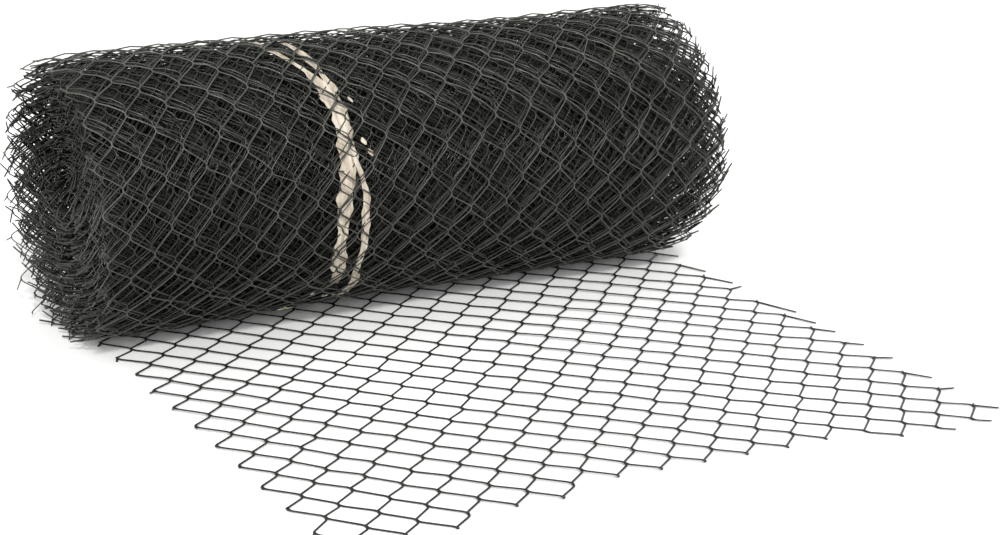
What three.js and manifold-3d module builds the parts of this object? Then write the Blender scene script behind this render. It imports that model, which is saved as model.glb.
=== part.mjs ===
// A roll of black plastic poultry netting. The diamond mesh is wound on itself, its loose end lies
// on the floor in front of the roll, and a pale tie band is wound in under the outermost turn.
// Millimetres, +Z up. X runs along the roll and the loose end points to -Y. The origin is the
// middle of the flat spot on which the roll rests.

import * as THREE from 'three';
import { mergeVertices } from 'three/addons/utils/BufferGeometryUtils.js';
import Module from 'manifold-3d';

const wasm = await Module();
wasm.setup();

// The netting: meshes across its width, and the size of one strand
const MESHES_ACROSS = 16;
const MESH_LENGTH = 31;
const STRAND = 1.8;
const CLEARANCE = 0.3;

// The roll, over the ragged ends of its turns. The outermost turn lies slack, so it steps down
// further to the next one than the turns inside do.
const ROLL_LENGTH = 504;
const ROLL_RADIUS = 102;
const OUTER_STEP = 3.2;
const MESH_DEPTH = 2.6;
const WAIST = 2.5;
const CORE_RADIUS = 13;
const CORE_DEPTH = 45;
const END_DISH = 9;

// The edges of the turns on each end, drawn together as one coarse spiral ridge
const RIDGE_PITCH = 15;
const RIDGE_WIDTH = 4;
const RIDGE_HEIGHT = 6;
const RIDGE_STEPS_PER_TURN = 18;

// The loose end, a little skewed and bowed as it lies. Its meshes are slightly coarser than on
// the roll. Columns and rows count half meshes.
const LOOSE_WIDTH = 481;
const LOOSE_COLUMNS = 27;
const LOOSE_ROW = 17.8;
const LOOSE_LEFT = -227;
const LOOSE_START = 18;
const ROW_SLANT = 0.096;
const COLUMN_SLANT = 0.094;
const BOW = 13;
const REAR_ROWS = 4;
const LONG_STUB = 0.7;
const SHORT_STUB = 0.3;

// The stepped front edge of the loose end: the last row in each stretch of columns
const FRONT_STEPS = [
  { lastColumn: 5, lastRow: 19 },
  { lastColumn: 9, lastRow: 18 },
  { lastColumn: 21, lastRow: 17 },
  { lastColumn: 26, lastRow: 18 },
  { lastColumn: LOOSE_COLUMNS, lastRow: 17 },
];

// The tie band, from its free end at the lower front up and over the top, down the back and under
// the roll to its other free end half way up the front. Angles are in degrees from straight down
// by way of the back.
const BAND_THICKNESS = 1.2;
const BAND_DEPTH = 3.4;
const BAND_STEPS = 60;
const BAND_ROUTE = [
  { angle: 334, across: -92, width: 7 },
  { angle: 322, across: -70, width: 8 },
  { angle: 298, across: -65, width: 9 },
  { angle: 265, across: -66, width: 11 },
  { angle: 236, across: -58, width: 13 },
  { angle: 208, across: -65, width: 14 },
  { angle: 177, across: -87, width: 14 },
  { angle: 120, across: -86, width: 17 },
  { angle: 60, across: -72, width: 17 },
  { angle: 10, across: -54, width: 12 },
  { angle: -44, across: -46.5, width: 6.5 },
  { angle: -80, across: -50, width: 6 },
  { angle: -102, across: -52, width: 5 },
];

// Sizes worked out from the ones above
const HALF_MESH = MESH_LENGTH / 2;
const FLAT_HALF = HALF_MESH;
const AXIS_HEIGHT = Math.sqrt(ROLL_RADIUS ** 2 - FLAT_HALF ** 2);
const BODY_HALF = ROLL_LENGTH / 2 - RIDGE_HEIGHT;
const BAND_RADIUS = ROLL_RADIUS - OUTER_STEP - BAND_DEPTH;
const LOOSE_REAR = -FLAT_HALF - CLEARANCE;

const netMaterial = () => new THREE.MeshStandardMaterial({ color: 0x2c2c2a, roughness: 0.5 });
const bandMaterial = () => new THREE.MeshStandardMaterial({ color: 0xe8d2bc, roughness: 0.7 });

// Surfaces and solids

function closedSurface(coordinates, corners) {
  const geometry = new THREE.BufferGeometry();
  geometry.setAttribute('position', new THREE.Float32BufferAttribute(coordinates, 3));
  geometry.setIndex(corners);
  geometry.computeVertexNormals();
  return geometry;
}

// A bar of four-sided sections, each given as its corner points, anticlockwise from its start.
function barOfSections(sections) {
  const coordinates = sections.flat(2);
  const corners = [];
  for (let step = 0; step < sections.length - 1; step += 1) {
    for (let side = 0; side < 4; side += 1) {
      const a = 4 * step + side;
      const b = 4 * step + (side + 1) % 4;
      corners.push(a, b + 4, b, a, a + 4, b + 4);
    }
  }
  const last = 4 * (sections.length - 1);
  corners.push(0, 1, 2, 0, 2, 3);
  corners.push(last, last + 2, last + 1, last, last + 3, last + 2);
  return closedSurface(coordinates, corners);
}

function solidOf(geometry) {
  const bare = geometry.clone();
  bare.deleteAttribute('normal');
  bare.deleteAttribute('uv');
  const merged = mergeVertices(bare);
  const vertProperties = new Float32Array(merged.attributes.position.array);
  const triVerts = new Uint32Array(merged.index.array);
  return new wasm.Manifold(new wasm.Mesh({ numProp: 3, vertProperties, triVerts }));
}

function geometryOf(solid) {
  const mesh = solid.getMesh();
  return closedSurface(Array.from(mesh.vertProperties), Array.from(mesh.triVerts));
}

// The wound form

// Radius of the outermost turn, counted from straight down by way of the back, top and front.
function turnRadius(angle) {
  return ROLL_RADIUS - OUTER_STEP * angle / (2 * Math.PI);
}

function onTurn(angle, radius) {
  return { y: radius * Math.sin(angle), z: AXIS_HEIGHT - radius * Math.cos(angle) };
}

// The turn's section at each half mesh: two along the flat spot, then round to the step where
// the loose end leaves the roll. Low points lie in the middle of a mesh.
function woundSection(lowOnOddSteps, swell) {
  const startAngle = Math.asin(FLAT_HALF / ROLL_RADIUS);
  const endAngle = 2 * Math.PI - Math.asin(FLAT_HALF / turnRadius(2 * Math.PI));
  const turnLength = turnRadius(Math.PI) * (endAngle - startAngle);
  const steps = Math.round(turnLength / HALF_MESH);
  const section = [{ y: -FLAT_HALF, z: 0 }, { y: 0, z: 0 }, { y: FLAT_HALF, z: 0 }];
  for (let step = 1; step <= steps; step += 1) {
    const angle = startAngle + (endAngle - startAngle) * step / steps;
    const isLow = (step % 2 === 1) === lowOnOddSteps;
    const overTop = 0.5 - 0.5 * Math.cos(angle);
    const radius = turnRadius(angle) + swell * overTop - (isLow ? MESH_DEPTH : 0);
    section.push(onTurn(angle, radius));
  }
  return section;
}

// The body of the roll. Its surface is a grid of half meshes, folded along the strands.
function rollBody() {
  const columns = 2 * MESHES_ACROSS;
  const coordinates = [];
  const corners = [];
  for (let column = 0; column <= columns; column += 1) {
    const share = 2 * column / columns - 1;
    const section = woundSection(column % 2 === 1, WAIST * (share * share - 1));
    for (const point of section) coordinates.push(BODY_HALF * share, point.y, point.z);
  }
  const rows = coordinates.length / 3 / (columns + 1);
  const vertex = (column, row) => column * rows + row % rows;
  for (let column = 0; column < columns; column += 1) {
    for (let row = 0; row < rows; row += 1) {
      const a = vertex(column, row);
      const b = vertex(column + 1, row);
      const c = vertex(column + 1, row + 1);
      const d = vertex(column, row + 1);
      if ((column + row) % 2 === 0) corners.push(a, d, b, b, d, c);
      else corners.push(a, c, b, a, d, c);
    }
  }
  addEnd(coordinates, corners, rows, 0, -1);
  addEnd(coordinates, corners, rows, columns * rows, 1);
  return closedSurface(coordinates, corners);
}

// One dished end with its small open core: rings from the rim to the middle of the core.
function addEnd(coordinates, corners, rows, rim, side) {
  const rings = [
    { radius: ROLL_RADIUS * 0.6, inset: END_DISH * 0.4 },
    { radius: CORE_RADIUS, inset: END_DISH },
    { radius: CORE_RADIUS * 0.8, inset: END_DISH + CORE_DEPTH },
  ];
  let outer = rim;
  for (const ring of rings) {
    const inner = coordinates.length / 3;
    for (let row = 0; row < rows; row += 1) {
      const y = coordinates[3 * (rim + row) + 1];
      const z = coordinates[3 * (rim + row) + 2] - AXIS_HEIGHT;
      const scale = ring.radius / Math.hypot(y, z);
      coordinates.push(side * (BODY_HALF - ring.inset), y * scale, AXIS_HEIGHT + z * scale);
    }
    for (let row = 0; row < rows; row += 1) {
      const next = (row + 1) % rows;
      const quad = [outer + row, outer + next, inner + next, outer + row, inner + next, inner + row];
      corners.push(...(side > 0 ? quad : quad.reverse()));
    }
    outer = inner;
  }
  const middle = coordinates.length / 3;
  coordinates.push(side * (BODY_HALF - END_DISH - CORE_DEPTH), 0, AXIS_HEIGHT);
  for (let row = 0; row < rows; row += 1) {
    const fan = [outer + row, outer + (row + 1) % rows, middle];
    corners.push(...(side > 0 ? fan : fan.reverse()));
  }
}

// The edges of the turns that stand out of one end, as a spiral wall rooted in the body.
function endSpiral(side) {
  const outside = ROLL_RADIUS - OUTER_STEP - MESH_DEPTH - RIDGE_WIDTH;
  const turns = (outside - CORE_RADIUS - RIDGE_WIDTH) / RIDGE_PITCH;
  const steps = Math.round(turns * RIDGE_STEPS_PER_TURN);
  const wallPoint = (step, inset) => {
    const turned = turns * step / steps;
    const point = onTurn(2 * Math.PI * turned, outside - RIDGE_PITCH * turned - inset);
    return new THREE.Vector2(point.y, point.z);
  };
  const outline = [];
  for (let step = 0; step <= steps; step += 1) outline.push(wallPoint(step, 0));
  for (let step = steps; step >= 0; step -= 1) outline.push(wallPoint(step, RIDGE_WIDTH));
  const depth = RIDGE_HEIGHT + END_DISH + RIDGE_WIDTH;
  const ridge = new THREE.ExtrudeGeometry(new THREE.Shape(outline), { depth, bevelEnabled: false });
  const alongX = new THREE.Matrix4().makeBasis(
    new THREE.Vector3(0, 1, 0),
    new THREE.Vector3(0, 0, 1),
    new THREE.Vector3(1, 0, 0),
  );
  ridge.applyMatrix4(alongX);
  const end = ROLL_LENGTH / 2;
  return ridge.translate(side > 0 ? end - depth : -end, 0, 0);
}

// The tie band and the groove that it lies in

// A strip round the roll between two radii. Its place and width follow the band's route.
function routeStrip(innerRadius, outerRadius, margin) {
  const stops = BAND_ROUTE.map((stop) => new THREE.Vector3(stop.angle, stop.across, stop.width));
  const route = new THREE.CatmullRomCurve3(stops);
  const sections = [];
  for (let step = 0; step <= BAND_STEPS; step += 1) {
    const { x: degrees, y: across, z: width } = route.getPoint(step / BAND_STEPS);
    const overrun = (step === 0 ? margin : 0) - (step === BAND_STEPS ? margin : 0);
    const angle = THREE.MathUtils.degToRad(degrees) + overrun / BAND_RADIUS;
    const left = across - width / 2 - margin;
    const right = across + width / 2 + margin;
    const inner = onTurn(angle, innerRadius);
    const outer = onTurn(angle, outerRadius);
    sections.push([
      [left, inner.y, inner.z],
      [right, inner.y, inner.z],
      [right, outer.y, outer.z],
      [left, outer.y, outer.z],
    ]);
  }
  return barOfSections(sections);
}

function tieBand() {
  return routeStrip(BAND_RADIUS, BAND_RADIUS + BAND_THICKNESS, 0);
}

function bandGroove() {
  return routeStrip(BAND_RADIUS - CLEARANCE, ROLL_RADIUS + WAIST, 2 * CLEARANCE);
}

function netRoll() {
  const body = solidOf(rollBody());
  const wound = body.add(solidOf(endSpiral(-1))).add(solidOf(endSpiral(1)));
  return geometryOf(wound.subtract(solidOf(bandGroove())));
}

// The loose end

// Where the crossing of one column and one row lies on the floor.
function crossing(column, row) {
  const across = LOOSE_WIDTH * column / LOOSE_COLUMNS;
  const along = LOOSE_START + LOOSE_ROW * row;
  const share = 2 * column / LOOSE_COLUMNS - 1;
  const bow = BOW * Math.max(0, 1 - share * share);
  const x = LOOSE_LEFT + across + COLUMN_SLANT * along;
  return new THREE.Vector2(x, -along - ROW_SLANT * across - bow);
}

function isInNet([column, row]) {
  if (column < 0 || column > LOOSE_COLUMNS) return false;
  const stretch = FRONT_STEPS.find((step) => column <= step.lastColumn);
  return row <= stretch.lastRow && crossing(column, row).y < LOOSE_REAR - STRAND;
}

// Every whole mesh, as the column and row of its left, front, right and rear crossings.
function wholeMeshes() {
  const meshes = [];
  for (let column = 1; column < LOOSE_COLUMNS; column += 1) {
    for (let row = -REAR_ROWS; row < FRONT_STEPS[0].lastRow; row += 1) {
      const around = [[column - 1, row], [column, row + 1], [column + 1, row], [column, row - 1]];
      const isMiddle = (column + row) % 2 !== 0;
      if (isMiddle && around.every(isInNet)) meshes.push(around);
    }
  }
  return meshes;
}

// The point beside a corner that lies the same distance to the left of both lines that meet there.
function besideCorner(before, corner, after, distance) {
  const leftOf = (from, to) => new THREE.Vector2(from.y - to.y, to.x - from.x).normalize();
  const first = leftOf(before, corner);
  const second = leftOf(corner, after);
  const reach = distance / (1 + first.dot(second));
  return corner.clone().addScaledVector(first.add(second), reach);
}

// The net as a flat plate of strands. Each mesh has its gap, ringed by half a strand, and each
// line that only one mesh uses has the other half of its strand on the outside.
function netPlate(meshes) {
  const coordinates = [];
  const corners = [];
  const addPoint = (point) => {
    coordinates.push(point.x, point.y, 0, point.x, point.y, STRAND);
    return coordinates.length / 3 - 2;
  };
  const pointAt = (index) => new THREE.Vector2(coordinates[3 * index], coordinates[3 * index + 1]);
  const addBeside = (before, corner, after) => {
    return addPoint(besideCorner(pointAt(before), pointAt(corner), pointAt(after), STRAND / 2));
  };
  // Floor face, top face and wall of the half strand to the left of the line from a to b.
  const addHalfStrand = (a, b, besideA, besideB) => {
    corners.push(a, besideB, b, a, besideA, besideB);
    corners.push(a + 1, b + 1, besideB + 1, a + 1, besideB + 1, besideA + 1);
    corners.push(besideA, besideB + 1, besideB, besideA, besideA + 1, besideB + 1);
  };
  const crossings = new Map();
  const linesWithoutTwin = new Map();
  for (const around of meshes) {
    const ring = around.map((place) => {
      const key = place.join();
      if (!crossings.has(key)) crossings.set(key, addPoint(crossing(...place)));
      return crossings.get(key);
    });
    const gap = ring.map((corner, side) => addBeside(ring[(side + 3) % 4], corner, ring[(side + 1) % 4]));
    ring.forEach((from, side) => {
      const next = (side + 1) % 4;
      const to = ring[next];
      addHalfStrand(from, to, gap[side], gap[next]);
      const wasWaiting = linesWithoutTwin.delete(`${to},${from}`);
      if (!wasWaiting) linesWithoutTwin.set(`${from},${to}`, { from, to });
    });
  }
  const outerLines = [...linesWithoutTwin.values()];
  const nextOf = new Map(outerLines.map((line) => [line.from, line.to]));
  const previousOf = new Map(outerLines.map((line) => [line.to, line.from]));
  const outside = new Map();
  for (const corner of nextOf.keys()) {
    outside.set(corner, addBeside(nextOf.get(corner), corner, previousOf.get(corner)));
  }
  for (const { from, to } of outerLines) addHalfStrand(to, from, outside.get(to), outside.get(from));
  return closedSurface(coordinates, corners);
}

// A cut strand as a square bar on the floor from a crossing towards a neighbouring place.
function strandBar(from, towards, share) {
  const to = from.clone().lerp(towards, share);
  const half = STRAND / 2;
  const ahead = to.clone().sub(from).normalize();
  const sections = [from, to].map((middle) => {
    const right = [middle.x + half * ahead.y, middle.y - half * ahead.x];
    const left = [middle.x - half * ahead.y, middle.y + half * ahead.x];
    return [[...left, 0], [...right, 0], [...right, STRAND], [...left, STRAND]];
  });
  return barOfSections(sections);
}

// The cut strands: stubs over the right edge, and the strands that run back to the roll.
function cutStrands(meshes) {
  const places = new Map(meshes.flat().map((place) => [place.join(), place]));
  const bars = [];
  for (const [column, row] of places.values()) {
    const from = crossing(column, row);
    if (column === LOOSE_COLUMNS) {
      bars.push(strandBar(from, crossing(column + 1, row + 1), LONG_STUB));
      bars.push(strandBar(from, crossing(column + 1, row - 1), SHORT_STUB));
    }
    for (const rearColumn of [column - 1, column + 1]) {
      const isInside = rearColumn >= 0 && rearColumn <= LOOSE_COLUMNS;
      if (!isInside || places.has([rearColumn, row - 1].join())) continue;
      const towards = crossing(rearColumn, row - 1);
      const share = Math.min(1, (LOOSE_REAR - STRAND / 2 - from.y) / (towards.y - from.y));
      bars.push(strandBar(from, towards, share));
    }
  }
  return bars;
}

function looseEnd() {
  const meshes = wholeMeshes();
  const plate = solidOf(netPlate(meshes));
  const net = cutStrands(meshes).reduce((joined, bar) => joined.add(solidOf(bar)), plate);
  return geometryOf(net);
}

const roll = new THREE.Group();

function addPiece(name, geometry, material) {
  const mesh = new THREE.Mesh(geometry, material);
  mesh.name = name;
  roll.add(mesh);
}

addPiece('net_roll', netRoll(), netMaterial());
addPiece('loose_end', looseEnd(), netMaterial());
addPiece('tie_band', tieBand(), bandMaterial());

export default roll;
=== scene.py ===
"""Looks of a roll of black plastic poultry netting with its loose end on the floor.

Every strand of the netting is laid out here, from the loose end through all the wound turns to the
hollow middle of the roll. A pale tie film is wound in under the outer turns. Sizes are in millimetres.
"""

import math

import bpy
import numpy as np
from mathutils import Matrix


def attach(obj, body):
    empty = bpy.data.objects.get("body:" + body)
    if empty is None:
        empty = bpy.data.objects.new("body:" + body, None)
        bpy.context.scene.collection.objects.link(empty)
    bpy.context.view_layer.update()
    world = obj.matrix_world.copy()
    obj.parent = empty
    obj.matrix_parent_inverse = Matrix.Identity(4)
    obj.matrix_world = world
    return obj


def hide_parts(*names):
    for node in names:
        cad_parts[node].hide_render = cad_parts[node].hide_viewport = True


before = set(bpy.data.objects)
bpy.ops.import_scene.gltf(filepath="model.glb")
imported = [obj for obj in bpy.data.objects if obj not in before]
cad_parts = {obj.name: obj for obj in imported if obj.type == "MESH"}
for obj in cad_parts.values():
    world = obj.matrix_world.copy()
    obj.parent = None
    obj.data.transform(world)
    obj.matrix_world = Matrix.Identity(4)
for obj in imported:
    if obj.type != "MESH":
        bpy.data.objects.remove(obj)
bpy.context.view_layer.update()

MM = 0.001
SEED = 20

# The netting. Columns and rows count half meshes, and strands cross where their sum is even. For each
# column to the right a rising strand passes one row forward, and a falling one passes one row back.
COLUMNS = 33
COLUMN = 15.53
ROW = 15.47
SLOPE = {"rising": 1, "falling": -1}

# Strands are ovals. At a crossing two of them are fused and then bend apart, both given as shares of a
# half mesh, and they are swollen there. Between two crossings on top of the roll they bulge out.
LOOSE_STRAND = {"wide": 1.5, "high": 0.95, "fused": 0.02, "bend": 0.24, "bulge": 0}
OUTER_STRAND = {"wide": 0.8, "high": 1.1, "fused": 0.05, "bend": 0.1, "bulge": 1.7}
INNER_STRAND = {"wide": 1.1, "high": 1.2, "fused": 0.05, "bend": 0.1, "bulge": 0.8}
BULGE_SHARE = {"rising": 0.2, "falling": 1}
LEAST_BULGE = 0.6
CROSSING_SWELL = 0.3
CROSSING_REACH = 0.12

# The loose end as it lies: the columns trimmed off its left side, the places of its left edge and of
# row 0, the slants of rows and columns, how far its middle bows forward and lies to the left, its rear
# and front row, and its height over the floor
TRIMMED = 2
LOOSE_LEFT = -228.7
LOOSE_START = 93.2
ROW_SLANT = 0.096
COLUMN_SLANT = 0.094
BOW = 13
SIDE_BOW = 3.6
LOOSE_REAR_ROW = -8
LOOSE_FRONT_ROW = 17
FLOOR_RISE = 0.6

# The stepped front edge: the last row in each stretch of columns, and the columns with a cut stub
# beyond it, which is that share of a mesh side long
FRONT_STEPS = [
    {"columns": 6, "last_row": 17},
    {"columns": 5, "last_row": 16},
    {"columns": 14, "last_row": 15},
    {"columns": 6, "last_row": 16},
]
FRONT_STUB_COLUMNS = (28, 30)
FRONT_STUB = 0.5

# The roll: its outside, the step from turn to turn and the hollow core. Wound meshes are a little
# narrower and pulled longer. The left edge goes over from the loose end's to the roll's own in the
# settle length, and the netting grows slack over its first rows.
ROLL_RADIUS = 102
AXIS_HEIGHT = 100.8
TURN_PITCH = 1.29
CORE_RADIUS = 13
ROLL_LEFT = -251
ROLL_COLUMN = 15.35
ROLL_ROW = 16.46
SETTLE_LENGTH = 225
SLACK_ROWS = 40

# The ends of the roll: how far its rims are rounded and over how many turns, how far the core is pushed
# to the right, where the left end slants in most and how far, how far it is drawn in at the top, and
# how far the right end is drawn in
RIM_ROUND = {"left": 1.5, "right": 8}
RIM_TURNS = 7
TELESCOPE = 12
LEFT_SLANT = {"angle": 300, "drawn_in": 16}
LEFT_TUCK = 6
RIGHT_TUCK = {"top": 3, "bottom": 5}

# The outside of the roll: the sunk corner at the upper left and its reach, the waist and the fuller
# right half
TOP_SAG = 9
SAG_REACH = 28
WAIST = 2.5
RIGHT_SWELL = 2.5

# Long waves in the netting, each with its height and how far its phase goes on: for each row and each
# column, or for each radian round the roll and each millimetre along it
SLACK_WAVES = [
    {"height": 1.2, "first": 0.059, "second": 0.111},
    {"height": 1.2, "first": 0.137, "second": -0.077},
]
FLOOR_WAVES = [
    {"height": 0.35, "first": 0.21, "second": 0.32},
    {"height": 0.25, "first": 0.30, "second": -0.19},
]
DENT_WAVES = [
    {"height": 0.9, "first": 3, "second": 0.017},
    {"height": 0.6, "first": 7, "second": -0.029},
]
WANDER_WAVES = [
    {"height": 1.6, "first": 0.37, "second": 0},
    {"height": 1.3, "first": 0.83, "second": 0},
]

# Painted light on the netting of the roll: strands of the outermost turn are painted paler as if lit,
# the deeper turns and the underside are painted darker as painted shade, and the cut left edge gets a
# painted
# highlight. Given: the turns over which it sets in and over which it fades, its share deep in the roll,
# under it and on the cut left edge, and the columns that it reaches there
PAINTED_LIGHT_START = 0.15
PAINTED_LIGHT_DEPTH = 0.6
PAINTED_LIGHT_DEEP = 0.06
PAINTED_LIGHT_BELOW = 0.4
PAINTED_HIGHLIGHT_AT_EDGE = 0.16
EDGE_REACH = 0.7

# How far the crossings stray from an even net: across, along and out of the sheet. On its upper face
# the rising strands stand out by the family lift, and the falling ones lie as far back.
STRAY_ON_ROLL = np.array([1.0, 1.0, 0.3])
STRAY_ON_FLOOR = np.array([0.45, 0.45, 0.15])
STRAY_LIMIT = 2
FAMILY_LIFT = 0.2

# The cut strands that stand out of the two edges, as shares of one mesh side: on the roll the right
# ones are worn, and on the loose end the left ones are shorter
LEFT_STUBS = {"rising": (0.1, 0.5), "falling": (0.06, 0.36)}
RIGHT_STUBS = {"rising": (0.6, 0.76), "falling": (0.22, 0.36)}
WORN = (0.25, 0.75)
LOOSE_LEFT_SHARE = 0.2
STUB_BEND = 0.5

# Where a strand has its sections between two crossings, and the lengths in which the netting is made,
# each with the turn at which it ends, or the core if that comes first. Strands have fewer sides and
# sections the deeper they lie.
SECTIONS = {
    "fine": (0, 0.1, 0.2, 0.5, 0.8, 0.9),
    "even": (0, 0.15, 0.5, 0.85),
    "sparse": (0, 0.2, 0.8),
    "plain": (0, 0.5),
}
LENGTHS = [
    {"name": "loose_end", "turns": 0, "strand": LOOSE_STRAND, "sides": 8, "sections": "fine"},
    {"name": "outermost_turns", "turns": 2, "strand": OUTER_STRAND, "sides": 5, "sections": "fine"},
    {"name": "outer_turns", "turns": 5, "strand": INNER_STRAND, "sides": 4, "sections": "even"},
    {"name": "middle_turns", "turns": 10, "strand": INNER_STRAND, "sides": 3, "sections": "sparse"},
    {"name": "inner_turns", "turns": 23, "strand": INNER_STRAND, "sides": 3, "sections": "plain"},
    {"name": "deep_turns", "turns": 42, "strand": INNER_STRAND, "sides": 3, "sections": "plain"},
    {"name": "core_turns", "turns": 80, "strand": INNER_STRAND, "sides": 3, "sections": "plain"},
]

# The tie film in strips: angle from straight down by way of the back, place along the roll, width, and
# how many turns of netting it lies under. Its steps are in degrees.
FILM_THICKNESS = 0.25
FILM_STEP = 1.2
FILM_LEAST_STEPS = 8
FILM_ACROSS = 14
FILM_STRIPS = {
    "band": [
        {"angle": 310, "across": -65, "width": 7, "under": 3},
        {"angle": 296, "across": -67, "width": 11, "under": 3},
        {"angle": 284, "across": -68, "width": 8, "under": 3},
        {"angle": 275, "across": -68, "width": 9, "under": 3},
        {"angle": 266, "across": -66, "width": 12, "under": 3},
        {"angle": 255, "across": -64, "width": 13, "under": 3},
        {"angle": 244, "across": -61, "width": 13, "under": 3},
        {"angle": 236, "across": -60, "width": 13, "under": 3},
        {"angle": 225, "across": -62, "width": 14, "under": 3},
        {"angle": 214, "across": -66, "width": 11, "under": 3},
        {"angle": 203, "across": -76, "width": 4, "under": 3},
        {"angle": 192, "across": -87, "width": 4, "under": 2},
        {"angle": 180, "across": -92, "width": 4, "under": 2},
        {"angle": 120, "across": -86, "width": 15, "under": 2},
        {"angle": 60, "across": -72, "width": 15, "under": 2},
        {"angle": 10, "across": -56, "width": 10, "under": 2},
        {"angle": -48, "across": -50, "width": 7, "under": 3},
        {"angle": -58, "across": -52, "width": 4, "under": 3},
        {"angle": -71, "across": -50.5, "width": 5, "under": 3},
        {"angle": -82, "across": -51, "width": 6, "under": 3},
        {"angle": -95, "across": -51, "width": 5.5, "under": 3},
        {"angle": -102, "across": -53.5, "width": 3.5, "under": 3},
        {"angle": -112, "across": -57, "width": 4, "under": 3},
    ],
    "torn fold": [
        {"angle": 218, "across": -58, "width": 8, "under": 3},
        {"angle": 207, "across": -63, "width": 4, "under": 3},
        {"angle": 198, "across": -66, "width": 7, "under": 3},
        {"angle": 187, "across": -70, "width": 4, "under": 2},
        {"angle": 176, "across": -73, "width": 3, "under": 2},
    ],
}
FILM_SCRAPS = [
    {"angle": 317, "across": -78, "length": 7, "width": 4, "under": 1.5},
    {"angle": 322, "across": -66, "length": 6, "width": 5, "under": 1.5},
    {"angle": 324, "across": -57, "length": 6, "width": 5, "under": 1.5},
    {"angle": 223, "across": -50, "length": 5, "width": 3, "under": 1.5},
    {"angle": 242, "across": -48, "length": 6, "width": 4, "under": 1.5},
    {"angle": 247, "across": -45, "length": 6, "width": 4, "under": 1.5},
    {"angle": 330, "across": -93, "length": 6, "width": 15, "under": -0.5},
]
SCRAP_TAPER = 0.7
YELLOW_FROM = 322
YELLOW_OVER = 8

# Unevenness of the film: phases for each millimetre along it, and for each edge or width across it
TORN_WAVES = [
    {"height": 0.16, "first": 0.14, "second": 2},
    {"height": 0.12, "first": 0.32, "second": 5},
    {"height": 0.08, "first": 0.63, "second": 0},
]
PLEAT_WAVES = [
    {"height": 0.3, "first": 0.03, "second": 9},
    {"height": 0.2, "first": -0.09, "second": 21},
    {"height": 0.2, "first": 0.18, "second": 6},
]

# The camera, on a picture 1000 pixels wide
CAMERA_PLACE = (-543.2, -1123.5, 489.1)
CAMERA_AZIMUTH = -30.49
CAMERA_ELEVATION = 20.69
CAMERA_ROLL = 2.81
FOCAL_PIXELS = 1696
PICTURE_WIDTH = 1000
SENSOR_WIDTH = 36

# The studio: half the side of the floor in metres, an even sky, a key light from above and a fill light
# from beside the camera
FLOOR_HALF = 8.0
SKY = 1.0
LIGHTS = [
    {"name": "key", "azimuth": -12, "elevation": 48, "softness": 8, "strength": 1.7},
    {"name": "fill", "azimuth": -34, "elevation": 24, "softness": 30, "strength": 0.8},
]

# Worked out from the sizes above
WOUND_TURNS = (ROLL_RADIUS - CORE_RADIUS) / TURN_PITCH
FRONT_LIMIT = np.repeat([s["last_row"] for s in FRONT_STEPS], [s["columns"] for s in FRONT_STEPS])

chance = np.random.default_rng(SEED)


def turns_row(turns):
    """The row of the left edge that lies that many turns into the roll. The netting in those turns is
    as long as their circles together, each one pitch of radius smaller than the last."""
    length = 2 * np.pi * (ROLL_RADIUS * turns - TURN_PITCH * turns**2 / 2)
    return LOOSE_REAR_ROW - int(round((length + LOOSE_START + ROW * LOOSE_REAR_ROW) / ROLL_ROW))


INNERMOST_ROW = turns_row(WOUND_TURNS)
STRAY_ROWS = LOOSE_FRONT_ROW - INNERMOST_ROW + 2 * COLUMNS
STRAY = chance.normal(size=(COLUMNS + 1, STRAY_ROWS, 3)).clip(-STRAY_LIMIT, STRAY_LIMIT)


def ripple(waves, first, second):
    """Height of a few sine waves together, whose phases go on with two distances."""
    return sum(w["height"] * np.sin(w["first"] * first + w["second"] * second) for w in waves)


def unrolled(column, row):
    """Where points of the netting would lie if it were all unrolled on the floor: how far forward of
    the line on which the roll rests, and how far along that line. Rows slant and bow forward, and
    columns slant to the right. Wound rows are pulled longer and slip to and fro, because the turns lie
    slack."""
    inside = column - TRIMMED
    arch = np.maximum(1 - (2 * inside / (COLUMNS - TRIMMED) - 1)**2, 0)
    wound_row = np.minimum(row - LOOSE_REAR_ROW, 0)
    run = LOOSE_START + ROW * row + (ROLL_ROW - ROW) * wound_row
    slant = ROW_SLANT * COLUMN * inside + BOW * arch
    slack = np.clip((LOOSE_REAR_ROW - row) / SLACK_ROWS, 0, 1)
    forward = run + slant + slack * ripple(SLACK_WAVES, row, column)
    along = LOOSE_LEFT + COLUMN * inside - SIDE_BOW * arch + COLUMN_SLANT * np.maximum(run, -slant)
    return forward, along


def roll_swell(angle, x):
    """How far the outside of the roll stands out of a true round: a waist and a fuller right half
    above, a sunk corner at the upper left, and shallow dents all round."""
    share = 2 * (x - ROLL_LEFT) / (ROLL_COLUMN * COLUMNS) - 1
    over_top = 0.5 - 0.5 * np.cos(angle)
    waist = WAIST * (share**2 - 1) + RIGHT_SWELL * (1 + share) / 2
    sag = TOP_SAG * np.exp(-np.maximum(x - ROLL_LEFT, 0) / SAG_REACH)
    return over_top * (waist - sag * over_top) + ripple(DENT_WAVES, angle, x)


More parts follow.
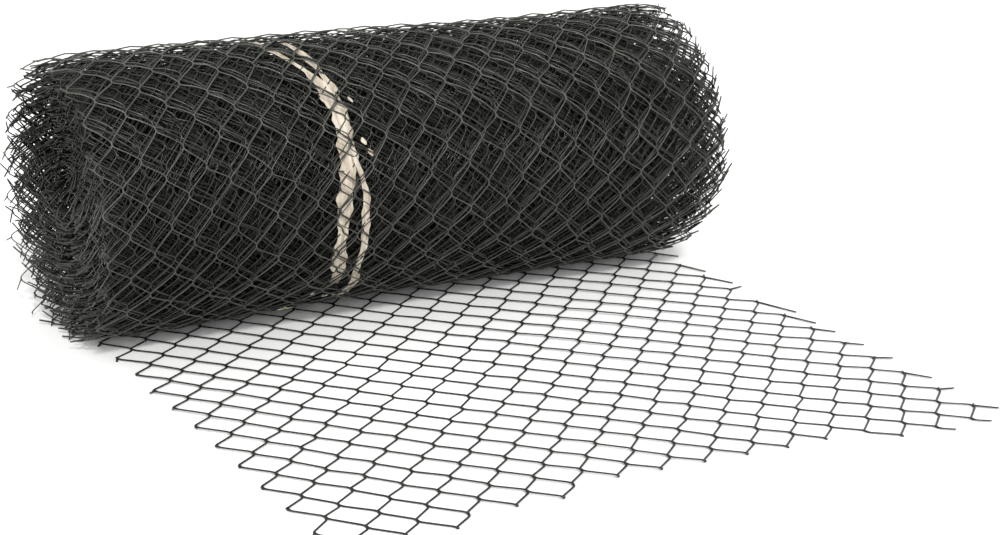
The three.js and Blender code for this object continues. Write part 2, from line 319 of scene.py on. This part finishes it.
def end_shift(share, turns, angle, inner):
    """How far netting on the roll lies to the right of its even place, at a share of its width.

    The turns are pushed to the right the deeper they lie: as 1 - e^(-turns), which rounds the rims, and
    evenly down to the core. The left end slants as a squared half cosine of the angle, less the smaller
    the turn. The ends are drawn in as a cosine above and below, and every turn wanders in long waves.
    """
    rim = RIM_ROUND["left"] * (1 - share) + RIM_ROUND["right"] * share
    pushed = rim * (1 - np.exp(-turns / RIM_TURNS)) + TELESCOPE * turns / WOUND_TURNS
    facing = 0.5 + 0.5 * np.cos(angle - math.radians(LEFT_SLANT["angle"]))
    slant = LEFT_SLANT["drawn_in"] * facing**2 * inner / ROLL_RADIUS
    top = np.maximum(-np.cos(angle), 0)
    bottom = np.maximum(np.cos(angle), 0)
    left = LEFT_TUCK * top + slant
    right = RIGHT_TUCK["top"] * top + RIGHT_TUCK["bottom"] * bottom
    return pushed + (1 - share) * left - share * right + ripple(WANDER_WAVES, angle, 0)


def wind_up(column, wound, along, lift):
    """Places of points of netting wound on the roll, the way that its upper face looks there, and how
    many turns deep they lie.

    The netting follows a spiral that starts straight down and goes by way of the back. Its angle is the
    root of length = radius * angle - pitch * angle² / 4π. Its left edge goes over from the loose end's
    to the roll's own as e^(-length).
    """
    inner = np.sqrt(np.maximum(ROLL_RADIUS**2 - TURN_PITCH * wound / np.pi, CORE_RADIUS**2))
    turns = (ROLL_RADIUS - inner) / TURN_PITCH
    angle = 2 * np.pi * turns
    x = ROLL_LEFT + ROLL_COLUMN * column + end_shift(column / COLUMNS, turns, angle, inner)
    unsettled = np.exp(-wound / SETTLE_LENGTH)
    x += unsettled * (along - x)
    radius = inner * (1 + roll_swell(angle, x) * (1 - unsettled) / ROLL_RADIUS) - lift
    upward = np.stack([np.zeros_like(angle), -np.sin(angle), np.cos(angle)], -1)
    axis = np.stack([x, np.zeros_like(x), np.full_like(x, AXIS_HEIGHT)], -1)
    return axis - radius[..., None] * upward, upward, turns


def place_netting(column, row, lift):
    """Places of points of the netting, the way that its upper face looks there, and how many turns deep
    they lie. Forward of the line on which the roll rests the net lies in low waves on the floor, and
    behind it the net is wound up."""
    forward, along = unrolled(column, row)
    rise = LOOSE_STRAND["high"] / 2 + FLOOR_RISE + ripple(FLOOR_WAVES, row, column)
    floor = np.stack([along, -forward, rise + lift], -1)
    roll, upward, turns = wind_up(column, np.maximum(-forward, 0), along, lift)
    on_floor = (forward >= 0)[..., None]
    return np.where(on_floor, floor, roll), np.where(on_floor, [0.0, 0.0, 1.0], upward), turns


def unit(vectors):
    """Vectors of length one."""
    return vectors / np.linalg.norm(vectors, axis=-1, keepdims=True)


def cut_strands(family, rows, left, sections):
    """The strands of one family that pass between two rows: the row in which each starts at column 0,
    and the columns passed at its sections. Both ends are cut unevenly. On the roll the right ends are
    worn, and on the loose end the left ones are shorter."""
    slope = SLOPE[family]
    first, last = rows
    lowest = first - COLUMNS - 1 if slope > 0 else first
    starts = np.arange(lowest + lowest % 2, lowest + last - first + COLUMNS + 3, 2)
    count = len(starts)
    passed = (np.arange(left, COLUMNS)[:, None] + np.array(sections)).ravel()
    passed = np.concatenate([[left], passed, [COLUMNS, COLUMNS]])
    passed = np.repeat(passed[None], count, 0)
    on_roll = starts + slope * COLUMNS < LOOSE_REAR_ROW
    worn = np.where(on_roll, chance.uniform(*WORN, count), 1)
    passed[:, 0] -= chance.uniform(*LEFT_STUBS[family], count) * np.where(on_roll, 1, LOOSE_LEFT_SHARE)
    passed[:, -1] += chance.uniform(*RIGHT_STUBS[family], count) * worn
    return starts[:, None], passed


def strand_stray(starts, passed, slope, left):
    """How far each section strays from an even net: between two crossings it goes smoothly from the
    stray of the one to the stray of the other, as 3t² - 2t³."""
    before = np.clip(np.floor(passed), left, COLUMNS - 1).astype(int)
    part = np.clip(passed - before, 0, 1)[..., None]
    part = part * part * (3 - 2 * part)
    row = np.clip(starts + slope * before - INNERMOST_ROW + COLUMNS, 1, STRAY_ROWS - 2)
    stray = STRAY[before, row] * (1 - part) + STRAY[before + 1, row + slope] * part
    is_loose = (starts + slope * passed > LOOSE_REAR_ROW)[..., None]
    return stray * np.where(is_loose, STRAY_ON_FLOOR, STRAY_ON_ROLL)


def run_together(passed, size):
    """Columns at which the sections of strands lie, so that two strands run together at each crossing.
    The way aside from the nearest crossing is nil where they are fused, then a hyperbola of the way
    along."""
    beyond = passed - np.round(passed)
    apart = np.maximum(np.abs(beyond) - size["fused"], 0)
    spread = np.hypot(0.5 - size["fused"], size["bend"]) - size["bend"]
    aside = 0.5 * (np.hypot(apart, size["bend"]) - size["bend"]) / spread
    return np.round(passed) + np.sign(beyond) * aside


def strand_bulge(passed, most):
    """How far strands bulge out between crossings: a squared sine, of another height in each mesh."""
    mesh = np.clip(np.floor(passed), 0, COLUMNS - 1).astype(int)
    share = np.take_along_axis(chance.random((len(passed), COLUMNS)), mesh, 1)
    return most * (LEAST_BULGE + (1 - LEAST_BULGE) * share) * np.sin(np.pi * passed)**2


def strand_painted_light(passed, turns, above):
    """Share of painted light on each section: painted paler as if lit, most on top of the outermost
    turn, fading as e^(-turns) inside it as painted shade of the deeper turns, darker towards the
    underside as painted shade, and a painted highlight on the cut left edge. The loose end has none."""
    fade = np.exp(-np.maximum(turns - 1, 0) / PAINTED_LIGHT_DEPTH) * (PAINTED_LIGHT_BELOW + (1 - PAINTED_LIGHT_BELOW) * above)
    edge = PAINTED_HIGHLIGHT_AT_EDGE * np.exp(-np.maximum(passed, 0) / EDGE_REACH)
    return np.clip(turns / PAINTED_LIGHT_START, 0, 1) * np.maximum(PAINTED_LIGHT_DEEP + (1 - PAINTED_LIGHT_DEEP) * fade, edge)


def strand_ovals(middle, upward, passed, size, sides):
    """Points round the sections of strands: an oval across the strand, swollen by a bell curve at each
    crossing and kept above the floor. Points: strand, section, side."""
    beside = unit(np.cross(unit(np.gradient(middle, axis=1)), upward))
    swell = 1 + CROSSING_SWELL * np.exp(-((passed - np.round(passed)) / CROSSING_REACH)**2)
    turn = 2 * np.pi * (np.arange(sides) + 0.5) / sides
    wide = beside[:, :, None] * size["wide"] / 2 * np.cos(turn)[:, None]
    high = upward[:, :, None] * size["high"] / 2 * np.sin(turn)[:, None]
    points = middle[:, :, None] + swell[..., None, None] * (wide + high)
    points[..., 2] = np.maximum(points[..., 2], 0)
    return points


def inside_netting(starts, passed, slope, rows):
    """Which stretches of strand between two sections lie between the two rows and behind the stepped
    front edge, or are one of the cut stubs beyond it."""
    first, last = rows
    centre = (passed[:, 1:] + passed[:, :-1]) / 2
    mesh_row = np.floor(starts + slope * centre).astype(int)
    mesh_column = np.clip(np.floor(centre), TRIMMED, COLUMNS - 1).astype(int) - TRIMMED
    over = mesh_row + 1 - FRONT_LIMIT[mesh_column]
    is_stub = np.isin(mesh_column, FRONT_STUB_COLUMNS) & (centre % 1 < FRONT_STUB) & (slope > 0)
    return (mesh_row >= first) & (mesh_row < last) & ((over <= 0) | (is_stub & (over == 1)))


def strand_tubes(family, rows, length):
    """Tubes of all strands of one family between two rows of the netting. A strand passes one column
    for each row, strays a little, and bulges out on top of the roll. Its tint is the painted light on
    it: painted paler on the outer turn, with painted shade deeper and underneath."""
    slope = SLOPE[family]
    size = length["strand"]
    left = 0 if length["turns"] else TRIMMED
    starts, passed = cut_strands(family, rows, left, SECTIONS[length["sections"]])
    stray = strand_stray(starts, passed, slope, left)
    row = starts + slope * passed
    stubs = np.stack([left - passed[:, 0], passed[:, -1] - COLUMNS], 1)
    row[:, [0, -1]] += STUB_BEND * stubs * chance.normal(size=stubs.shape)
    column = run_together(passed, size) + stray[..., 0] / COLUMN
    bulge = strand_bulge(passed, size["bulge"] * BULGE_SHARE[family])
    lift = stray[..., 2] + slope * FAMILY_LIFT
    middle, upward, turns = place_netting(column, row + stray[..., 1] / ROW, lift)
    above = 0.5 - 0.5 * upward[..., 2]
    middle = middle - (bulge * above)[..., None] * upward
    points = strand_ovals(middle, upward, passed, size, length["sides"])
    # Painted light: paler on top of the outer turn, painted shade in deeper turns and underneath, and a
    # painted highlight on the cut left edge.
    painted_light = strand_painted_light(passed, turns, above)
    tint = np.broadcast_to(painted_light[..., None, None], points.shape[:-1] + (1,))
    points = np.concatenate([points, tint], -1).reshape(-1, 4)
    shown = inside_netting(starts, passed, slope, rows)
    return points, tube_faces(shown, passed.shape[1], length["sides"])


def tube_faces(shown, sections, sides):
    """Side faces between the shown neighbouring sections of each tube, and an end face where a run of
    them stops."""
    tube, section = np.nonzero(shown)
    start = (tube * sections + section)[:, None] * sides
    here = np.arange(sides)
    there = (here + 1) % sides
    walls = np.stack([start + here, start + sides + here, start + sides + there, start + there], -1)
    edge = np.zeros((len(shown), 1), bool)
    opens = (shown & ~np.hstack([edge, shown[:, :-1]]))[tube, section]
    closes = (shown & ~np.hstack([shown[:, 1:], edge]))[tube, section]
    ends = np.vstack([start[opens] + here, start[closes] + sides + here[::-1]])
    return walls.reshape(-1, 4), ends


def join_surfaces(parts):
    """Several sets of points, side faces and end faces as one set."""
    shifts = np.cumsum([0] + [len(points) for points, _ in parts[:-1]])
    points = np.vstack([points for points, _ in parts])
    walls = np.vstack([faces[0] + shift for (_, faces), shift in zip(parts, shifts)])
    ends = np.vstack([faces[1] + shift for (_, faces), shift in zip(parts, shifts)])
    return points, walls, ends


def make_piece(name, points, smooth_faces, flat_faces, material, slot):
    """A piece of the object from points in millimetres, each with a tint. Points that no face uses are
    left out."""
    groups = [smooth_faces, flat_faces]
    corners = np.concatenate([faces.ravel() for faces in groups])
    used, corners = np.unique(corners, return_inverse=True)
    sizes = np.concatenate([np.full(len(faces), faces.shape[1]) for faces in groups])
    mesh = bpy.data.meshes.new(name)
    mesh.vertices.add(len(used))
    mesh.vertices.foreach_set("co", (points[used, :3] * MM).astype(np.float32).ravel())
    tint = mesh.attributes.new("tint", "FLOAT", "POINT")
    tint.data.foreach_set("value", points[used, 3].astype(np.float32))
    mesh.loops.add(len(corners))
    mesh.loops.foreach_set("vertex_index", corners.astype(np.int32))
    mesh.polygons.add(len(sizes))
    mesh.polygons.foreach_set("loop_start", (np.cumsum(sizes) - sizes).astype(np.int32))
    mesh.polygons.foreach_set("use_smooth", np.arange(len(sizes)) < len(smooth_faces))
    mesh.update(calc_edges=True)
    mesh.validate()
    mesh.materials.append(material)
    piece = bpy.data.objects.new(name, mesh)
    bpy.context.scene.collection.objects.link(piece)
    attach(piece, "root")
    return piece


def lay_out_netting(material):
    """The netting in its lengths, from the loose end to the innermost turn."""
    pieces = {}
    front_row = LOOSE_FRONT_ROW
    for length in LENGTHS:
        turns = min(length["turns"], WOUND_TURNS)
        rear_row = turns_row(turns) if turns else LOOSE_REAR_ROW
        parts = [strand_tubes(family, (rear_row, front_row), length) for family in ("rising", "falling")]
        name = length["name"] + "_netting"
        pieces[length["name"]] = make_piece(name, *join_surfaces(parts), material, "netting")
        front_row = rear_row
    return pieces


def smooth_route(table, steps):
    """A smooth line through the rows of a table: a cubic for each stretch, with the slope at a row set
    by the rows on both sides of it."""
    rows = np.array([list(row.values()) for row in table], float)
    padded = np.vstack([2 * rows[0] - rows[1], rows, 2 * rows[-1] - rows[-2]])
    at = np.linspace(0, len(rows) - 1, steps)
    stretch = np.minimum(at.astype(int), len(rows) - 2)
    t = (at - stretch)[:, None]
    p0, p1, p2, p3 = (padded[stretch + i] for i in range(4))
    straight = 2 * p1 + (p2 - p0) * t
    curved = (2 * p0 - 5 * p1 + 4 * p2 - p3) * t**2 + (3 * p1 - p0 - 3 * p2 + p3) * t**3
    return (straight + curved) / 2


def film_strip(route):
    """One crumpled strip of film between two turns of the roll. Its radius is the spiral's, so many
    turns under the outside, with long pleats. Its edges are torn unevenly, and an upper and a lower
    face close it. Its tint is the yellowing."""
    degrees = sum(abs(b["angle"] - a["angle"]) for a, b in zip(route, route[1:]))
    steps = max(int(degrees / FILM_STEP), FILM_LEAST_STEPS)
    angle, middle, width, under = smooth_route(route, steps).T[:, :, None]
    turn = np.radians(angle)
    along = turn * ROLL_RADIUS
    across = np.linspace(-0.5, 0.5, FILM_ACROSS)[None]
    x = middle + width * across * (1 + ripple(TORN_WAVES, along, np.sign(across)))
    radius = ROLL_RADIUS - TURN_PITCH * (turn / (2 * np.pi) + under)
    radius = radius + roll_swell(turn, middle) + ripple(PLEAT_WAVES, along, across)
    yellow = np.clip((angle - YELLOW_FROM) / YELLOW_OVER, 0, 1) + np.zeros_like(x)
    faces = []
    for above in (1, 0):
        r = radius + (above - 0.5) * FILM_THICKNESS
        z = np.maximum(AXIS_HEIGHT - r * np.cos(turn), (1 - above) * FILM_THICKNESS)
        faces.append(np.stack([x, r * np.sin(turn), z, yellow], -1))
    rim = np.concatenate([faces[0], faces[1][:, ::-1]], 1)
    sections, sides = rim.shape[:2]
    return rim.reshape(-1, 4), tube_faces(np.ones((1, sections - 1), bool), sections, sides)


def tie_film(material):
    """The tie film: its strips, and small torn scraps that widen to their middle."""
    strips = [film_strip(route) for route in FILM_STRIPS.values()]
    for scrap in FILM_SCRAPS:
        reach = math.degrees(scrap["length"] / ROLL_RADIUS / 2)
        route = [
            {"angle": scrap["angle"] + reach * end, "across": scrap["across"] + end,
             "width": scrap["width"] * (1 - SCRAP_TAPER * abs(end)), "under": scrap["under"]}
            for end in (1, 0, -1)
        ]
        strips.append(film_strip(route))
    return make_piece("tie_film", *join_surfaces(strips), material, "band")


def linear(hex_colour):
    """Linear colour of an sRGB hex value."""
    channels = np.array([int(hex_colour[i:i + 2], 16) for i in (1, 3, 5)]) / 255
    low, high = channels / 12.92, ((channels + 0.055) / 1.055) ** 2.4
    return (*np.where(channels <= 0.04045, low, high), 1.0)


def per_mm(size):
    """Noise scale that gives features of that many millimetres."""
    return 1 / (size * MM)


def new_material(name):
    """An empty node material."""
    material = bpy.data.materials.new(name)
    material.use_nodes = True
    material.node_tree.nodes.clear()
    return material


def add_node(material, kind, settings=(), inputs=()):
    """A node with its settings, and its inputs as values or as outputs of other nodes."""
    node = material.node_tree.nodes.new(kind)
    for name, value in dict(settings).items():
        setattr(node, name, value)
    for name, value in dict(inputs).items():
        if isinstance(value, bpy.types.NodeSocket):
            material.node_tree.links.new(value, node.inputs[name])
        else:
            node.inputs[name].default_value = value
    return node


def black_polyethylene():
    """Black polyethylene, extruded and cooled in water: a waxy half-matt skin with a narrow grey sheen.
    The outside of the roll is painted paler by the tint as painted light, with painted shade in the
    deeper turns and underneath, and dust lies on it in patches a few centimetres wide. Fine die lines
    are drawn coarser than real, so that they show."""
    material = new_material("black_polyethylene_extruded")
    place = add_node(material, "ShaderNodeTexCoord").outputs["Object"]
    # The tint holds painted light: paler on the outer turn, painted shade deeper and underneath, and a
    # painted highlight on the cut left edge.
    painted_light = add_node(material, "ShaderNodeAttribute", {"attribute_name": "tint"}).outputs["Fac"]
    noise = add_node(material, "ShaderNodeTexNoise", inputs={
        "Vector": place, "Scale": per_mm(28), "Detail": 4, "Roughness": 0.6})
    dust = add_node(material, "ShaderNodeMapRange", inputs={
        "Value": noise.outputs["Fac"], "From Min": 0.3, "From Max": 0.7}).outputs["Result"]
    grain = add_node(material, "ShaderNodeTexNoise", inputs={
        "Vector": place, "Scale": per_mm(0.9), "Detail": 2, "Roughness": 0.5})
    clean = add_node(material, "ShaderNodeMixRGB", inputs={
        "Fac": dust, "Color1": linear("#131411"), "Color2": linear("#1f201b")})
    # The paler grey is painted light, for strands that are painted as lit.
    painted_lit_grey = add_node(material, "ShaderNodeMixRGB", inputs={
        "Fac": dust, "Color1": linear("#40413b"), "Color2": linear("#5c5d56")})
    colour = add_node(material, "ShaderNodeMixRGB", inputs={
        "Fac": painted_light, "Color1": clean.outputs["Color"], "Color2": painted_lit_grey.outputs["Color"]})
    roughness = add_node(material, "ShaderNodeMapRange", inputs={
        "Value": dust, "To Min": 0.2, "To Max": 0.34})
    bump = add_node(material, "ShaderNodeBump", inputs={
        "Height": grain.outputs["Fac"], "Strength": 0.25, "Distance": 0.2 * MM})
    shader = add_node(material, "ShaderNodeBsdfPrincipled", inputs={
        "Base Color": colour.outputs["Color"], "Roughness": roughness.outputs["Result"], "IOR": 1.51,
        "Specular IOR Level": 0.4, "Normal": bump.outputs["Normal"]})
    add_node(material, "ShaderNodeOutputMaterial", inputs={"Surface": shader.outputs["BSDF"]})
    return material


def cream_film():
    """Cream polyethylene film, blown thin and crumpled: soft satin gloss with creases that run the way
    it was pulled, paler where it lies in more than one layer, and yellowed at its lower end."""
    material = new_material("cream_polyethylene_film")
    place = add_node(material, "ShaderNodeTexCoord").outputs["Object"]
    yellow = add_node(material, "ShaderNodeAttribute", {"attribute_name": "tint"}).outputs["Fac"]
    pulled = add_node(material, "ShaderNodeMapping", inputs={
        "Vector": place, "Scale": (4, 1, 1)}).outputs["Vector"]
    noise = add_node(material, "ShaderNodeTexNoise", inputs={
        "Vector": pulled, "Scale": per_mm(16), "Detail": 4, "Roughness": 0.6})
    layers = add_node(material, "ShaderNodeMapRange", inputs={
        "Value": noise.outputs["Fac"], "From Min": 0.36, "From Max": 0.62}).outputs["Result"]
    creases = add_node(material, "ShaderNodeTexNoise", inputs={
        "Vector": pulled, "Scale": per_mm(8), "Detail": 4, "Roughness": 0.6, "Distortion": 0.8})
    fresh = add_node(material, "ShaderNodeMixRGB", inputs={
        "Fac": layers, "Color1": linear("#a09381"), "Color2": linear("#cbc1b1")})
    old = add_node(material, "ShaderNodeMixRGB", inputs={
        "Fac": layers, "Color1": linear("#a8a077"), "Color2": linear("#d6d6ac")})
    colour = add_node(material, "ShaderNodeMixRGB", inputs={
        "Fac": yellow, "Color1": fresh.outputs["Color"], "Color2": old.outputs["Color"]})
    bump = add_node(material, "ShaderNodeBump", inputs={
        "Height": creases.outputs["Fac"], "Strength": 0.7, "Distance": 1.2 * MM})
    shader = add_node(material, "ShaderNodeBsdfPrincipled", inputs={
        "Base Color": colour.outputs["Color"], "Roughness": 0.42, "IOR": 1.5,
        "Normal": bump.outputs["Normal"]})
    add_node(material, "ShaderNodeOutputMaterial", inputs={"Surface": shader.outputs["BSDF"]})
    return material


def studio_floor():
    """White studio floor with a faint painted unevenness."""
    material = new_material("white_studio_floor")
    place = add_node(material, "ShaderNodeTexCoord").outputs["Object"]
    cloud = add_node(material, "ShaderNodeTexNoise", inputs={"Vector": place, "Scale": 1.5, "Detail": 2})
    colour = add_node(material, "ShaderNodeMixRGB", inputs={
        "Fac": cloud.outputs["Fac"], "Color1": linear("#f4f4f2"), "Color2": linear("#f8f8f7")})
    shader = add_node(material, "ShaderNodeBsdfPrincipled", inputs={
        "Base Color": colour.outputs["Color"], "Roughness": 0.9})
    add_node(material, "ShaderNodeOutputMaterial", inputs={"Surface": shader.outputs["BSDF"]})
    return material


def add_camera():
    """The camera at the photograph's place: turned to the azimuth and elevation, then rolled about its
    own axis."""
    azimuth, elevation, roll = (math.radians(a) for a in (CAMERA_AZIMUTH, CAMERA_ELEVATION, CAMERA_ROLL))
    outward = math.cos(elevation)
    back = np.array([math.sin(azimuth) * outward, -math.cos(azimuth) * outward, math.sin(elevation)])
    level = np.array([math.cos(azimuth), math.sin(azimuth), 0])
    above = np.cross(back, level)
    right = math.cos(roll) * level + math.sin(roll) * above
    up = math.cos(roll) * above - math.sin(roll) * level
    data = bpy.data.cameras.new("camera")
    data.sensor_width = SENSOR_WIDTH
    data.lens = SENSOR_WIDTH * FOCAL_PIXELS / PICTURE_WIDTH
    camera = bpy.data.objects.new("camera", data)
    pose = np.eye(4)
    pose[:3] = np.stack([right, up, back, np.array(CAMERA_PLACE) * MM], 1)
    camera.matrix_world = Matrix(pose.tolist())
    bpy.context.scene.collection.objects.link(camera)
    bpy.context.scene.camera = camera


def add_studio():
    """A white floor, an even white sky and two broad soft lights, so far off that they light the floor
    evenly."""
    corners = [(-1, -1), (1, -1), (1, 1), (-1, 1)]
    mesh = bpy.data.meshes.new("floor")
    mesh.from_pydata([(FLOOR_HALF * x, FLOOR_HALF * y, 0) for x, y in corners], [], [(0, 1, 2, 3)])
    mesh.materials.append(studio_floor())
    floor = bpy.data.objects.new("floor", mesh)
    bpy.context.scene.collection.objects.link(floor)

    world = bpy.data.worlds.new("sky")
    world.use_nodes = True
    sky = world.node_tree.nodes["Background"]
    sky.inputs["Color"].default_value = linear("#ffffff")
    sky.inputs["Strength"].default_value = SKY
    bpy.context.scene.world = world

    for light in LIGHTS:
        data = bpy.data.lights.new(light["name"], "SUN")
        data.energy = light["strength"]
        data.angle = math.radians(light["softness"])
        lamp = bpy.data.objects.new(light["name"], data)
        lamp.rotation_euler = (math.radians(90 - light["elevation"]), 0, math.radians(light["azimuth"]))
        bpy.context.scene.collection.objects.link(lamp)
    bpy.context.scene.view_settings.view_transform = "Standard"


add_camera()
add_studio()
netting = lay_out_netting(black_polyethylene())
film = tie_film(cream_film())

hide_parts("loose_end")
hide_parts("net_roll")
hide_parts("tie_band")
